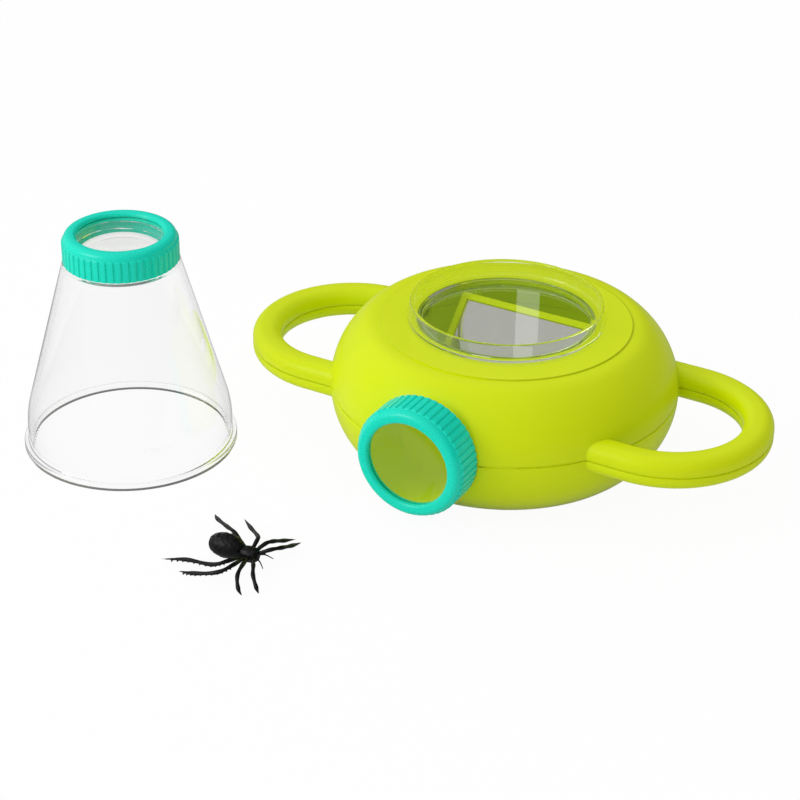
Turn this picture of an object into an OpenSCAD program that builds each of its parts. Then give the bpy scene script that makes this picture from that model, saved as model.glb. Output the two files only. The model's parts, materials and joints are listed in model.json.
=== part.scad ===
// Two-way bug viewer set: a round housing with two loop handles, a clear dish on its top, a mirror
// at 45 degrees inside and a screw-on eyepiece in front, with a conical clear jar that fits over
// the dish, its screw cap with a magnifying lens, and a toy spider. Millimetres, +Z up. The origin
// is the centre of the housing's underside, +X runs along the handles and -Y looks out of the eyepiece.

/* [Housing] */
// Widest radius of the round housing
body_r = 82.2; // [78:0.2:90]
// Height of the widest circle
widest_z = 29.5; // [28:0.5:32]
// Radius of the round flank
flank_r = 38; // [36:0.5:40]
// Radius of the arc that leads into the flat top
shoulder_r = 12; // [11:0.5:15]
// Angle at which the flank runs into the shoulder
shoulder_angle = 51; // [48:1:54]
// Height at which the two shells meet
split_z = 30; // [29:0.5:31]
// Thickness of the moulded shells
wall = 2.4; // [1.8:0.1:2.8]
// Radius of the raised round on the top
plateau_r = 59; // [55:0.5:60]
// Height of the raised round over the top
plateau_rise = 0.6; // [0.4:0.1:1.2]
// Width and depth of the groove along the joint of the shells
seam = 0.5; // [0.3:0.1:0.7]
// Width of the ring that the housing stands on
foot_w = 6; // [4:0.5:8]
// Height of the recess inside that ring
foot_rise = 1.2; // [0.8:0.1:1.4]
// Radius of the round pad in the middle of the underside
foot_pad_r = 16; // [12:1:20]

/* [Loop handles] */
// Radius of the middle line of a loop
loop_r = 41.7; // [39:0.1:44]
// Distance from the widest circle to the centre of a loop
loop_gap = 1.3; // [0:0.1:5]
// Width of the moulded grip
grip_w = 14.2; // [13:0.2:17]
// Height of the moulded grip
grip_h = 15.4; // [14:0.2:18]
// Radius of the rounded edges of the grip
grip_edge = 5.8; // [4:0.2:6.2]
// Height of the middle of the grip over the table
grip_z = 30.7; // [30:0.1:31.4]

/* [Dish] */
// Radius of the opening in the top of the housing
opening_r = 41.6; // [38:0.2:43]
// Outer radius of the dish
dish_r = 46.2; // [45:0.1:50]
// Height of the dish over the raised round
dish_h = 9.7; // [8:0.1:14]
// Height of the straight foot of the dish's ring
dish_land = 3.2; // [2.6:0.2:5]
// Draft of the ring from that foot to the rim
rim_draft = 1.2; // [0.6:0.1:1.6]
// Thickness of the clear dish
dish_wall = 1.8; // [1.4:0.1:2.2]
// Radius of the edge along the rim
rim_edge = 0.7; // [0.4:0.1:0.8]

/* [Mirror] */
// Tilt of the mirror
mirror_tilt = 45; // [44:0.5:46]
// Width of the mirror
mirror_w = 64; // [56:1:66]
// Length of the mirror above the line of sight
mirror_up = 31; // [27:0.5:31]
// Length of the mirror below the line of sight
mirror_down = 26; // [22:0.5:27]
// Thickness of the mirror
mirror_t = 2; // [1.5:0.1:2.4]
// Thickness of the adhesive pad behind the mirror
pad_t = 0.8; // [0.5:0.1:1]
// Width of the frame round the mirror
frame_w = 3.4; // [3:0.1:3.6]
// Height of the frame's lip over the mirror
frame_lip = 1.1; // [0.6:0.1:1.3]

/* [Eyepiece] */
// Height of the line of sight
sight_z = 31.5; // [31.2:0.1:32]
// Depth of the eyepiece's flat seat behind the widest circle
seat_inset = 4.9; // [4.5:0.1:6]
// Outer radius of the threaded barrel and of the jar's neck
thread_r = 24; // [23.6:0.1:24.3]
// Wall of the barrel
barrel_wall = 1.9; // [1.5:0.1:2.2]
// Length of the eyepiece ring
ring_len = 17; // [15:0.5:19]

/* [Ribbed rings] */
// Outer radius of both ribbed rings, over the ribs
ring_r = 26.8; // [26.6:0.1:27]
// Radius of the hole in a ring's rounded front
ring_hole_r = 20; // [19:0.1:20.4]
// Depth of the grooves between the ribs
rib_depth = 0.6; // [0.4:0.1:0.8]
// Number of ribs round a ring
rib_count = 48; // [36:4:60]
// Radius of the rounded front edge of a ring
ring_round = 2.6; // [2:0.1:2.8]
// Thickness of the lip that holds the lens
ring_lip = 1.9; // [1.5:0.1:2.2]
// Width of the step between the ribs and the rounded front
ring_step = 0.9; // [0.5:0.1:1.2]

/* [Lenses] */
// Thickness of a lens at its edge
lens_edge = 2.2; // [1.8:0.1:2.6]
// Rise of each face of a lens
lens_crown = 1.5; // [1:0.1:1.7]
// Thickness of the snap ring that holds a lens
snap_t = 1.6; // [1.2:0.1:2]
// Inner radius of the snap ring
snap_hole_r = 20.6; // [20:0.1:21]

/* [Jar] */
// Height of the jar's shoulder under the cap
jar_shoulder_z = 94; // [80:1:110]
// Outer radius of the jar under the cap
jar_top_r = 27; // [26.4:0.1:27.6]
// Wall of the clear jar
jar_wall = 1.7; // [1.3:0.1:2]
// Height of the straight skirt that fits over the dish
skirt_h = 10; // [8:0.5:12]
// Width of the foot flange beyond the skirt
flange_out = 2.1; // [1.4:0.1:3]
// Height of the foot flange
flange_h = 3.4; // [2.4:0.2:4.4]
// Radius of the curve between the skirt and the cone
skirt_bend_r = 50; // [30:5:60]
// Length of the jar's cap
cap_len = 13.6; // [13.4:0.1:15]
// Place of the jar beside the housing, along the handles
jar_x = -152; // [-190:1:-148]
// Place of the jar beside the housing, along the line of sight
jar_y = -91.8; // [-120:0.2:-84]

/* [Spider] */
// Length of the abdomen
abdomen_len = 16.5; // [14:0.5:20]
// Greatest radius of the abdomen
abdomen_r = 5.6; // [4.8:0.1:6.4]
// Length of the head part
head_len = 9.5; // [8:0.5:11]
// Greatest radius of the head part
head_r = 3.7; // [3.2:0.1:4.4]
// Reach of the longest leg from the middle of the head part
leg_reach = 39; // [32:1:46]
// Thickness of a leg
leg_d = 1.9; // [1.6:0.1:2.4]
// Place of the head part along the handles
spider_x = -43.5; // [-50:0.5:-36]
// Place of the head part along the line of sight
spider_y = -155; // [-170:0.5:-146]
// Direction that the spider faces
spider_turn = 5; // [-20:1:30]

/* [Screws] */
// Radius of the circle that the housing screws stand on
screw_circle_r = 54; // [53:0.5:57]
// Radius of a screw's shank
screw_r = 1.4; // [1.2:0.1:1.6]
// Radius of a screw's head
screw_head_r = 2.7; // [2.4:0.1:2.8]
// Height of a screw's head
screw_head_h = 2; // [1.6:0.1:2.2]
// Wall of the tubes that the housing screws run through
post_wall = 2.8; // [2.4:0.1:3]
// Distance from the joint of the shells down to the heads of the housing screws
screw_drop = 12; // [10:0.5:14]
// Length of the housing screws
screw_len = 22; // [19:0.5:24]
// Length of the handle screws
handle_screw_len = 11; // [9:0.5:11.5]

/* [Hidden] */

$fn = 96;

// One overrun serves all cuts
over = 1;

// Clearances
slip = 0.3;
fit = 0.05;
seat_gap = 0.1;
dish_gap = 0.4;

// Small sizes inside
boss_edge = 0.8;
flange_w = 1.6;
groove_w = 2.8;
groove_depth = 11.5;
collar_w = 3.4;
ear_rise = 5;
ear_t = 2.4;
ear_r = 4;
ear_reach = 4.4;
bead_h = 1;
bead_gap = 0.2;
hook_count = 6;
hook_angle = 24;

// Shares
ear_shares = [-0.3, 0.62];
rib_groove_share = 0.36;
hole_round_share = 0.7;
recess_shares = [0.5, 1.1, 0.5];
point_share = 0.25;

// Heights of the housing
flank_x = body_r - flank_r;
shoulder_c = [flank_x + (flank_r - shoulder_r) * cos(shoulder_angle),
    widest_z + (flank_r - shoulder_r) * sin(shoulder_angle)];
top_z = shoulder_c[1] + shoulder_r;
plateau_z = top_z + plateau_rise;
foot_r = flank_x + sqrt(pow(flank_r, 2) - pow(widest_z, 2));
floor_z = foot_rise + wall;
ceiling_z = top_z - wall;
rim_z = plateau_z + dish_h;

// Handles
loop_x = body_r + loop_gap;
arm_end_x = sqrt(pow(body_r - wall, 2) - pow(loop_r, 2)) - grip_w / 2;
arm_len = loop_x - arm_end_x;
loop_tip_x = loop_x + loop_r;

// Dish under its floor
spigot_r = opening_r - slip;
bead_r = opening_r + slip;

// Eyepiece along the line of sight, as distances in front of the axis of the housing
seat_y = body_r - seat_inset;
boss_r = ring_r + boss_edge;
seat_cut_r = ring_r + dish_gap;
ring_back_y = seat_y + slip;
barrel_front_y = ring_back_y + ring_len - ring_lip - lens_edge - snap_t - slip - 2 * seat_gap;
groove_y = seat_y - groove_depth;
collar_end_y = groove_y - collar_w;
barrel_flange_r = thread_r + flange_w;

// Lens, snap ring and ring
ring_bore_r = thread_r + seat_gap;
lens_r = (ring_bore_r + ring_hole_r) / 2;
snap_r = ring_bore_r - fit;
ring_core_r = ring_r - ring_step;
hole_round = hole_round_share * ring_lip;

// Jar: the cone leaves the bend where a line to the shoulder touches it
skirt_bore_r = dish_r + dish_gap;
skirt_r = skirt_bore_r + jar_wall;
flange_r = skirt_r + flange_out;
cap_z = jar_shoulder_z + slip;
jar_neck_z = cap_z + cap_len - ring_lip - lens_edge - snap_t - slip - 2 * seat_gap;
bend_c = [skirt_r - skirt_bend_r, skirt_h];
cone_d = [jar_top_r, jar_shoulder_z] - bend_c;
cone_angle = atan2(cone_d[1], cone_d[0]) - acos(skirt_bend_r / norm(cone_d));

// Screws
post_r = screw_r + post_wall;
handle_post_r = (grip_w - wall) / 2;
pilot_r = screw_r + fit;
shank_hole_r = screw_r + slip;
head_hole_r = screw_head_r + slip;
screw_seat_z = split_z - screw_drop;
handle_seat_z = grip_z - grip_h / 2 + screw_head_h + 2 * slip;
ear_z = floor_z + ear_rise;
ear_places = [for (side = [-1, 1]) for (share = ear_shares)
    [side * (mirror_w / 2 + frame_w + ear_reach), share * mirror_up]];

// Points along an arc
function arc_points(c, r, from, to, steps) =
    [for (i = [0:steps]) let (a = from + (to - from) * i / steps) c + r * [cos(a), sin(a)]];

// Half section of the round body: the flank's circle, the shoulder's circle that touches it from
// inside, and the middle, all drawn inward from the skin by an inset
module body_section(inset, bottom_z) {
    intersection() {
        translate([flank_x, widest_z]) circle(r = flank_r - inset);
        polygon([[flank_x, bottom_z], [flank_x + 2 * flank_r, bottom_z],
            [flank_x, widest_z] + 2 * flank_r * [cos(shoulder_angle), sin(shoulder_angle)],
            [flank_x, widest_z]]);
    }
    translate(shoulder_c) circle(r = shoulder_r - inset);
    translate([0, bottom_z]) square([shoulder_c[0], top_z - inset - bottom_z]);
}

module body_solid(inset, bottom_z) {
    rotate_extrude() body_section(inset, bottom_z);
}

// Section of the grip with round edges, drawn inward by an inset
module grip_section(inset) {
    w = grip_w - 2 * inset;
    h = grip_h - 2 * inset;
    edge = grip_edge - inset;
    square([w - 2 * edge, h], center = true);
    square([w, h - 2 * edge], center = true);
    for (sx = [-1, 1]) for (sy = [-1, 1])
        translate([sx * (w / 2 - edge), sy * (h / 2 - edge)]) circle(r = edge);
}

// Both loops with their arms
module loops(inset) {
    for (side = [0, 1]) mirror([side, 0, 0]) translate([loop_x, 0, grip_z]) {
        rotate([0, 0, -90]) rotate_extrude(angle = 180) translate([loop_r, 0]) grip_section(inset);
        for (arm = [-1, 1]) translate([-arm_len, arm * loop_r, 0])
            rotate([90, 0, 90]) linear_extrude(arm_len) grip_section(inset);
    }
}

// Turns a shape that stands on Z into one that looks out of the eyepiece
module along_sight(y) {
    translate([0, -y, sight_z]) rotate([90, 0, 0]) children();
}

module housing_posts(r, from, to) {
    for (a = [45:90:315]) rotate([0, 0, a]) translate([screw_circle_r, 0, from])
        cylinder(r = r, h = to - from);
}

module handle_posts(r, from, to) {
    for (side = [-1, 1]) translate([side * loop_tip_x, 0, from]) cylinder(r = r, h = to - from);
}

// The hollow of the round body, one wall inside its skin
module body_hollow() {
    inner_r = flank_r - wall;
    flank_steps = 14;
    shoulder_steps = 5;
    shoulder_step = (90 - shoulder_angle) / shoulder_steps;
    rotate_extrude() polygon(concat([[0, floor_z]],
        arc_points([flank_x, widest_z], inner_r, -asin((widest_z - floor_z) / inner_r), shoulder_angle,
            flank_steps),
        arc_points(shoulder_c, shoulder_r - wall, shoulder_angle + shoulder_step, 90, shoulder_steps - 1),
        [[0, ceiling_z]]));
}

// The hollow of the housing, less what stands in it
module housing_hollow() {
    difference() {
        union() {
            body_hollow();
            loops(wall);
        }
        along_sight(collar_end_y) cylinder(r = boss_r, h = body_r - collar_end_y);
        housing_posts(post_r, 0, top_z);
        handle_posts(handle_post_r, 0, top_z);
    }
}

// Bore, groove and flat seat for the eyepiece
module eyepiece_cuts() {
    along_sight(0) cylinder(r = thread_r + fit, h = body_r + over);
    along_sight(groove_y) cylinder(r = barrel_flange_r + slip, h = groove_w);
    along_sight(seat_y) cylinder(r = seat_cut_r, h = 2 * body_r);
}

// Outer form of the housing, drawn inward by an inset
module housing_skin(inset) {
    body_solid(inset, 0);
    loops(inset);
    along_sight(seat_y - 3 * wall) cylinder(r = boss_r - inset, h = 3 * wall);
}

module half_space(from, to) {
    reach = loop_tip_x + grip_w;
    translate([-reach, -reach, from]) cube([2 * reach, 2 * reach, to - from]);
}

// Lower half of the housing and of both handles, with its standing ring and screw tubes
module lower_shell() {
    color("#c2d500") difference() {
        intersection() {
            housing_skin(0);
            half_space(-over, split_z);
        }
        housing_hollow();
        eyepiece_cuts();
        rotate_extrude() translate([foot_pad_r, -over])
            square([foot_r - foot_w - foot_pad_r, over + foot_rise]);
        housing_posts(head_hole_r, -over, screw_seat_z);
        housing_posts(shank_hole_r, 0, split_z + over);
        handle_posts(head_hole_r, 0, handle_seat_z);
        handle_posts(shank_hole_r, 0, split_z + over);
    }
    color("#c2d500") for (p = ear_places) translate([p[0], p[1], floor_z - wall / 2]) difference() {
        cylinder(r = ear_r, h = ear_z - floor_z + wall / 2);
        translate([0, 0, wall / 2]) cylinder(r = pilot_r, h = ear_z);
    }
}

// Upper half of the housing and of both handles, with the raised round and the opening
module upper_shell() {
    color("#c2d500") difference() {
        union() {
            intersection() {
                housing_skin(0);
                half_space(split_z + seam, top_z + over);
            }
            intersection() {
                housing_skin(seam);
                half_space(split_z, split_z + 2 * seam);
            }
            translate([0, 0, ceiling_z + wall / 2])
                cylinder(r = plateau_r, h = plateau_z - ceiling_z - wall / 2);
        }
        housing_hollow();
        eyepiece_cuts();
        translate([0, 0, ceiling_z - over])
            cylinder(r = opening_r, h = plateau_z - ceiling_z + 2 * over);
        housing_posts(pilot_r, split_z - over, screw_seat_z + screw_len + over);
        handle_posts(pilot_r, split_z - over, handle_seat_z + handle_screw_len + slip);
    }
}

// Clear dish: floor, upright ring and a short collar with snap hooks that hold it in the opening
module viewing_dish() {
    rim_r = dish_r - rim_draft;
    inner_r = rim_r - dish_wall;
    hook_z = ceiling_z - bead_gap - bead_h;
    color("#dfe8e4", 0.5) {
        rotate_extrude() polygon(concat(
            [[0, plateau_z], [dish_r, plateau_z], [dish_r, plateau_z + dish_land]],
            arc_points([rim_r - rim_edge, rim_z - rim_edge], rim_edge, 0, 90, 6),
            arc_points([inner_r + rim_edge, rim_z - rim_edge], rim_edge, 90, 180, 6),
            [[dish_r - dish_wall, plateau_z + dish_land], [dish_r - dish_wall, plateau_z + dish_wall],
                [0, plateau_z + dish_wall]]));
        difference() {
            translate([0, 0, hook_z]) cylinder(r = spigot_r, h = plateau_z - hook_z + dish_wall / 2);
            translate([0, 0, hook_z - over])
                cylinder(r = spigot_r - dish_wall, h = plateau_z - hook_z + over);
        }
        for (i = [0:hook_count - 1]) rotate([0, 0, i * 360 / hook_count])
            rotate_extrude(angle = hook_angle) polygon([[spigot_r - dish_wall / 2, hook_z],
                [spigot_r, hook_z], [bead_r, hook_z + bead_h / 2], [bead_r, hook_z + bead_h],
                [spigot_r - dish_wall / 2, hook_z + bead_h]]);
    }
}

// Moves to the mirror's own plane: its face is at height 0 and its upper end lies toward +Y
module on_mirror() {
    translate([0, 0, sight_z]) rotate([mirror_tilt, 0, 0]) children();
}

// Sloping carrier of the mirror with side cheeks and four screw ears
module mirror_frame() {
    half = mirror_w / 2 + frame_w;
    back = mirror_t + pad_t + wall;
    top = mirror_up + frame_w;
    bottom = mirror_down + frame_w;
    low_y = -bottom * cos(mirror_tilt) + back * sin(mirror_tilt);
    high_y = top * cos(mirror_tilt) + back * sin(mirror_tilt);
    high_z = sight_z + top * sin(mirror_tilt) - back * cos(mirror_tilt);
    foot_z = floor_z + slip;
    low_z = sight_z - bottom * sin(mirror_tilt) - back * cos(mirror_tilt);
    color("#c2d500") {
        difference() {
            on_mirror() translate([-half, -bottom, -back]) cube([2 * half, top + bottom, back + frame_lip]);
            on_mirror() translate([-mirror_w / 2 - slip, -mirror_down - slip, -mirror_t - pad_t])
                cube([mirror_w + 2 * slip, mirror_up + mirror_down + 2 * slip, back + frame_lip]);
        }
        for (side = [0, 1]) mirror([side, 0, 0]) translate([half - wall, 0, 0]) rotate([90, 0, 90])
            linear_extrude(wall) polygon([[low_y, low_z + wall / 2], [low_y, foot_z], [high_y, foot_z],
                [high_y, high_z], [high_y - wall, high_z]]);
        for (p = ear_places) difference() {
            union() {
                translate([p[0], p[1], ear_z + fit]) cylinder(r = ear_r, h = ear_t);
                translate([p[0] > 0 ? half - wall : p[0], p[1] - ear_r, ear_z + fit])
                    cube([ear_reach + wall, 2 * ear_r, ear_t]);
            }
            translate([p[0], p[1], ear_z - over]) cylinder(r = shank_hole_r, h = ear_t + 3 * over);
        }
    }
}

// Silvered plate that lies in the frame
module mirror_plate() {
    color("#b9b4c2") on_mirror() translate([-mirror_w / 2, -mirror_down, -mirror_t])
        cube([mirror_w, mirror_up + mirror_down, mirror_t]);
}

// Double-sided pad between the mirror and its frame
module mirror_pad() {
    color("#e8e8e4") on_mirror() translate([-mirror_w / 4, -mirror_down / 2, -mirror_t - pad_t])
        cube([mirror_w / 2, (mirror_up + mirror_down) / 2, pad_t]);
}

// Self-tapping screw with a pan head and a cross recess, its seat at height 0 and its tip upward
module screw(length) {
    recess_w = recess_shares[0] * screw_r;
    recess_l = recess_shares[1] * screw_head_r;
    recess_h = recess_shares[2] * screw_head_h;
    difference() {
        union() {
            translate([0, 0, -screw_head_h]) cylinder(r = screw_head_r, h = screw_head_h);
            translate([0, 0, -screw_head_h / 2])
                cylinder(r = screw_r, h = length - screw_r + screw_head_h / 2);
            translate([0, 0, length - screw_r])
                cylinder(r1 = screw_r, r2 = point_share * screw_r, h = screw_r);
        }
        for (turn = [0, 90]) rotate([0, 0, turn])
            translate([-recess_l / 2, -recess_w / 2, -screw_head_h - recess_h])
                cube([recess_l, recess_w, 2 * recess_h]);
    }
}

// Screws that join the two shells of the round body
module housing_screws() {
    color("#b8bcc0") for (a = [45:90:315]) rotate([0, 0, a])
        translate([screw_circle_r, 0, screw_seat_z]) screw(screw_len);
}

// One screw at the far end of each loop
module handle_screws() {
    color("#b8bcc0") for (side = [-1, 1]) translate([side * loop_tip_x, 0, handle_seat_z])
        screw(handle_screw_len);
}

// Screws that hold the mirror frame down, driven from above
module frame_screws() {
    color("#b8bcc0") for (p = ear_places) translate([p[0], p[1], ear_z + ear_t + 2 * fit])
        mirror([0, 0, 1]) screw(ear_t + ear_z - floor_z - slip);
}

// Barrel that the eyepiece ring screws on, with the flange that the shells hold in a groove
module eyepiece_barrel() {
    color("#b6c900") difference() {
        union() {
            along_sight(collar_end_y) cylinder(r = thread_r, h = barrel_front_y - collar_end_y);
            along_sight(groove_y + slip) cylinder(r = barrel_flange_r, h = groove_w - 2 * slip);
        }
        along_sight(collar_end_y - over)
            cylinder(r = thread_r - barrel_wall, h = barrel_front_y - collar_end_y + 2 * over);
    }
}

// Ribbed ring with a rounded front, its back at height 0; the lens and snap ring sit behind its lip
module ribbed_ring(length) {
    rib_len = length - ring_round - ring_step / 2;
    rib_groove_w = rib_groove_share * 2 * PI * ring_r / rib_count;
    lens_z = length - ring_lip - lens_edge - 2 * seat_gap;
    lens_bore_r = lens_r + slip;
    mid_r = (ring_bore_r + ring_core_r) / 2;
    hole_c = [ring_hole_r + hole_round, length - hole_round];
    round_c = [ring_core_r - ring_round, length - ring_round];
    rotate_extrude() polygon(concat(
        [[ring_bore_r, 0], [ring_core_r, 0]],
        arc_points(round_c, ring_round, 0, 90, 8),
        arc_points(hole_c, hole_round, 90, 180, 6),
        [[ring_hole_r, length - ring_lip], [lens_bore_r, length - ring_lip], [lens_bore_r, lens_z],
            [ring_bore_r, lens_z]]));
    linear_extrude(rib_len) difference() {
        circle(r = ring_r);
        circle(r = mid_r);
        for (i = [0:rib_count - 1]) rotate([0, 0, i * 360 / rib_count])
            translate([ring_r, 0]) square([2 * rib_depth, rib_groove_w], center = true);
    }
    rotate_extrude() polygon([[mid_r, rib_len - ring_step], [ring_r - rib_depth, rib_len - ring_step],
        [ring_r - rib_depth, rib_len], [ring_core_r - rib_depth / 4, rib_len + ring_step],
        [mid_r, rib_len + ring_step]]);
}

// Magnifying lens with two domed faces inside a flat rim, the middle of its rim at height 0
module lens() {
    dome_w = ring_hole_r - slip;
    dome_r = (pow(dome_w, 2) + pow(lens_crown, 2)) / (2 * lens_crown);
    half_angle = asin(dome_w / dome_r);
    dome_z = lens_edge / 2 + lens_crown - dome_r;
    rotate_extrude() polygon(concat(
        arc_points([0, dome_z], dome_r, 90, 90 - half_angle, 8),
        [[lens_r, lens_edge / 2], [lens_r, -lens_edge / 2]],
        arc_points([0, -dome_z], dome_r, half_angle - 90, -90, 8)));
}

// Snap ring that holds a lens against the lip, its back at height 0
module snap_ring() {
    difference() {
        cylinder(r = snap_r, h = snap_t);
        translate([0, 0, -over]) cylinder(r = snap_hole_r, h = snap_t + 2 * over);
    }
}

module eyepiece_ring() {
    color("#0cc8a8") along_sight(ring_back_y) ribbed_ring(ring_len);
}

module eyepiece_lens() {
    color("#e8f0ec", 0.5)
        along_sight(ring_back_y + ring_len - ring_lip - seat_gap - lens_edge / 2) lens();
}

module eyepiece_snap_ring() {
    color("#0cc8a8")
        along_sight(ring_back_y + ring_len - ring_lip - 2 * seat_gap - lens_edge - snap_t) snap_ring();
}

// Clear conical jar with a foot flange, a straight skirt and a neck for the cap
module jar_body() {
    inner_bend_r = skirt_bend_r - jar_wall;
    roof_z = jar_shoulder_z - jar_wall;
    rise = (roof_z - bend_c[1] - inner_bend_r * sin(cone_angle)) / cos(cone_angle);
    roof_r = bend_c[0] + inner_bend_r * cos(cone_angle) - rise * sin(cone_angle);
    color("#eef2f0", 0.4) translate([jar_x, jar_y, 0]) rotate_extrude() polygon(concat(
        [[skirt_bore_r, 0], [flange_r, 0], [flange_r, flange_h], [skirt_r, flange_h]],
        arc_points(bend_c, skirt_bend_r, 0, cone_angle, 6),
        [[jar_top_r, jar_shoulder_z], [thread_r, jar_shoulder_z], [thread_r, jar_neck_z],
            [thread_r - jar_wall, jar_neck_z], [thread_r - jar_wall, roof_z], [roof_r, roof_z]],
        arc_points(bend_c, inner_bend_r, cone_angle, 0, 6)));
}

module on_jar(z) {
    translate([jar_x, jar_y, z]) children();
}

module jar_cap() {
    color("#0cc8a8") on_jar(cap_z) ribbed_ring(cap_len);
}

module jar_lens() {
    color("#e8f0ec", 0.5) on_jar(cap_z + cap_len - ring_lip - seat_gap - lens_edge / 2) lens();
}

module jar_snap_ring() {
    color("#0cc8a8") on_jar(cap_z + cap_len - ring_lip - 2 * seat_gap - lens_edge - snap_t) snap_ring();
}

// Half outline of a rounded body along its own axis, fuller toward one end
function pod_outline(length, r, fullness) =
    [for (i = [0:14]) let (a = 180 * i / 14) [r * pow(sin(a), fullness), -length / 2 * cos(a)]];

module pod(length, r, fullness) {
    rotate([0, 90, 0]) rotate_extrude($fn = 32) polygon(pod_outline(length, r, fullness));
}

// Limb through points: a ring of flat sides at each point, square to the way it runs, and a thin tip
limb_sides = 6;

function limb_ring(p, way, r) =
    let (u = cross(way, [0, 0, 1]) / norm(cross(way, [0, 0, 1])), v = cross(u, way) / norm(way))
    [for (k = [0:limb_sides - 1]) let (a = 360 * k / limb_sides) p + r * (cos(a) * u + sin(a) * v)];

module limb(points, r, tip_r) {
    last = len(points) - 1;
    rings = [for (i = [0:last]) limb_ring(points[i], points[min(i + 1, last)] - points[max(i - 1, 0)],
        i == last ? tip_r : r)];
    sides = [for (i = [0:last - 1]) for (k = [0:limb_sides - 1]) let (a = i * limb_sides + k,
        b = i * limb_sides + (k + 1) % limb_sides) each [[a, b, a + limb_sides],
        [b, b + limb_sides, a + limb_sides]]];
    ends = [[for (k = [limb_sides - 1:-1:0]) k], [for (k = [0:limb_sides - 1]) last * limb_sides + k]];
    polyhedron([for (ring = rings) each ring], concat(sides, ends));
}

// Joints of the eight legs and of the two feelers, from root to tip, as shares of the leg's reach
left_leg_shares = [
    [[-0.03, 0.03, 0.11], [-0.27, 0.18, 0.21], [-0.45, 0.32, 0.17],
        [-0.70, 0.54, 0.08], [-0.83, 0.70, 0.02]],
    [[-0.01, 0.03, 0.11], [0.01, 0.17, 0.21], [-0.04, 0.28, 0.18],
        [-0.27, 0.53, 0.09], [-0.48, 0.76, 0.02]],
    [[0.02, 0.03, 0.11], [0.12, 0.15, 0.20], [0.16, 0.26, 0.18],
        [0.20, 0.45, 0.09], [0.26, 0.63, 0.02]],
    [[0.05, 0.02, 0.11], [0.22, 0.08, 0.19], [0.30, 0.20, 0.17],
        [0.33, 0.40, 0.09], [0.35, 0.60, 0.02]]];
right_leg_shares = [
    [[-0.03, -0.03, 0.11], [-0.08, -0.34, 0.21], [-0.24, -0.43, 0.17],
        [-0.60, -0.36, 0.09], [-0.92, -0.38, 0.02]],
    [[-0.01, -0.03, 0.11], [0.01, -0.38, 0.21], [-0.11, -0.54, 0.17],
        [-0.40, -0.55, 0.08], [-0.63, -0.51, 0.02]],
    [[0.02, -0.03, 0.11], [0.10, -0.34, 0.21], [0.12, -0.50, 0.17],
        [0.18, -0.60, 0.08], [0.25, -0.64, 0.02]],
    [[0.05, -0.02, 0.11], [0.20, -0.28, 0.20], [0.27, -0.42, 0.17],
        [0.35, -0.50, 0.08], [0.40, -0.53, 0.02]]];
feeler_shares = [
    [[0.05, 0.02, 0.11], [0.16, 0.05, 0.13], [0.26, 0.08, 0.08]],
    [[0.05, -0.02, 0.11], [0.17, -0.09, 0.13], [0.25, -0.15, 0.08]]];

module toy_spider() {
    belly_z = abdomen_r + leg_d / 4;
    color("#141414") translate([spider_x, spider_y, 0]) rotate([0, 0, spider_turn]) {
        translate([-(head_len + abdomen_len) / 2 + leg_d, 0, belly_z]) pod(abdomen_len, abdomen_r, 0.8);
        translate([0, 0, head_r + leg_d / 2]) pod(head_len, head_r, 0.7);
        for (leg = concat(left_leg_shares, right_leg_shares))
            limb([for (p = leg) leg_reach * p], leg_d / 2, leg_d / 5);
        for (feeler = feeler_shares) limb([for (p = feeler) leg_reach * p], leg_d / 3, leg_d / 6);
    }
}

lower_shell();
upper_shell();
viewing_dish();
mirror_frame();
mirror_plate();
mirror_pad();
frame_screws();
housing_screws();
handle_screws();
eyepiece_barrel();
eyepiece_lens();
eyepiece_ring();
eyepiece_snap_ring();
jar_body();
jar_lens();
jar_cap();
jar_snap_ring();
toy_spider();
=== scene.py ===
# Looks of the two-way bug viewer set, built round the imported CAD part: the lime housing with its
# clear dish and mirror, the teal ribbed rings with their lenses, the clear jar and the toy spider.
# Sizes are real ones in millimetres, in the CAD part's own frame, and come from its nodes.
import json
import math

import bmesh
import bpy
from mathutils import Matrix, Vector, noise


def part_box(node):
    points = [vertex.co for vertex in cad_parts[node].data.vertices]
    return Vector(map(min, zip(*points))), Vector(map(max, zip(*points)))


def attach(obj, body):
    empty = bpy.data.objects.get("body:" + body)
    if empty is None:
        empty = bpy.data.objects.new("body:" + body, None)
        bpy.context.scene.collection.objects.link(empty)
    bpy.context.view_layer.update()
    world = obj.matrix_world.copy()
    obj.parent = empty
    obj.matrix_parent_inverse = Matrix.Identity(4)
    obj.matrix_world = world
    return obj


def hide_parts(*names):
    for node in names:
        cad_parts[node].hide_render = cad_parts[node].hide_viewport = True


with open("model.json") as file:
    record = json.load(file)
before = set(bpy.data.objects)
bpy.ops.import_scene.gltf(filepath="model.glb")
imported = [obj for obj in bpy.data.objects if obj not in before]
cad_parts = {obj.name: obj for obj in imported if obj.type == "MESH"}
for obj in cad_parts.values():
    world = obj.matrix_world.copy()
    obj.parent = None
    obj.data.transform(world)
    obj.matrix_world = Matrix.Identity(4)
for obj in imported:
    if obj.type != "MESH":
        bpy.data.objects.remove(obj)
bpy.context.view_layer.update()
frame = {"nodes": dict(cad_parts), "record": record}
nodes = frame["nodes"]

MM = 0.001

# Limits of the mesh work: points nearer than this are one, and a place this near a height is on it
MERGE = 0.0001
CUT_MERGE = 0.001
NEAR = 0.01

# Straight stretches of an outline longer than this get a point this near each end
LONG_STRETCH = 1
STRETCH_END = 0.2


def span(node, axis):
    """Lowest and highest place of a node along an axis."""
    low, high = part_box(node)
    return low[axis] / MM, high[axis] / MM


def middle(node, axis):
    return sum(span(node, axis)) / 2


def half(node, axis):
    low, high = span(node, axis)
    return (high - low) / 2


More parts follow.
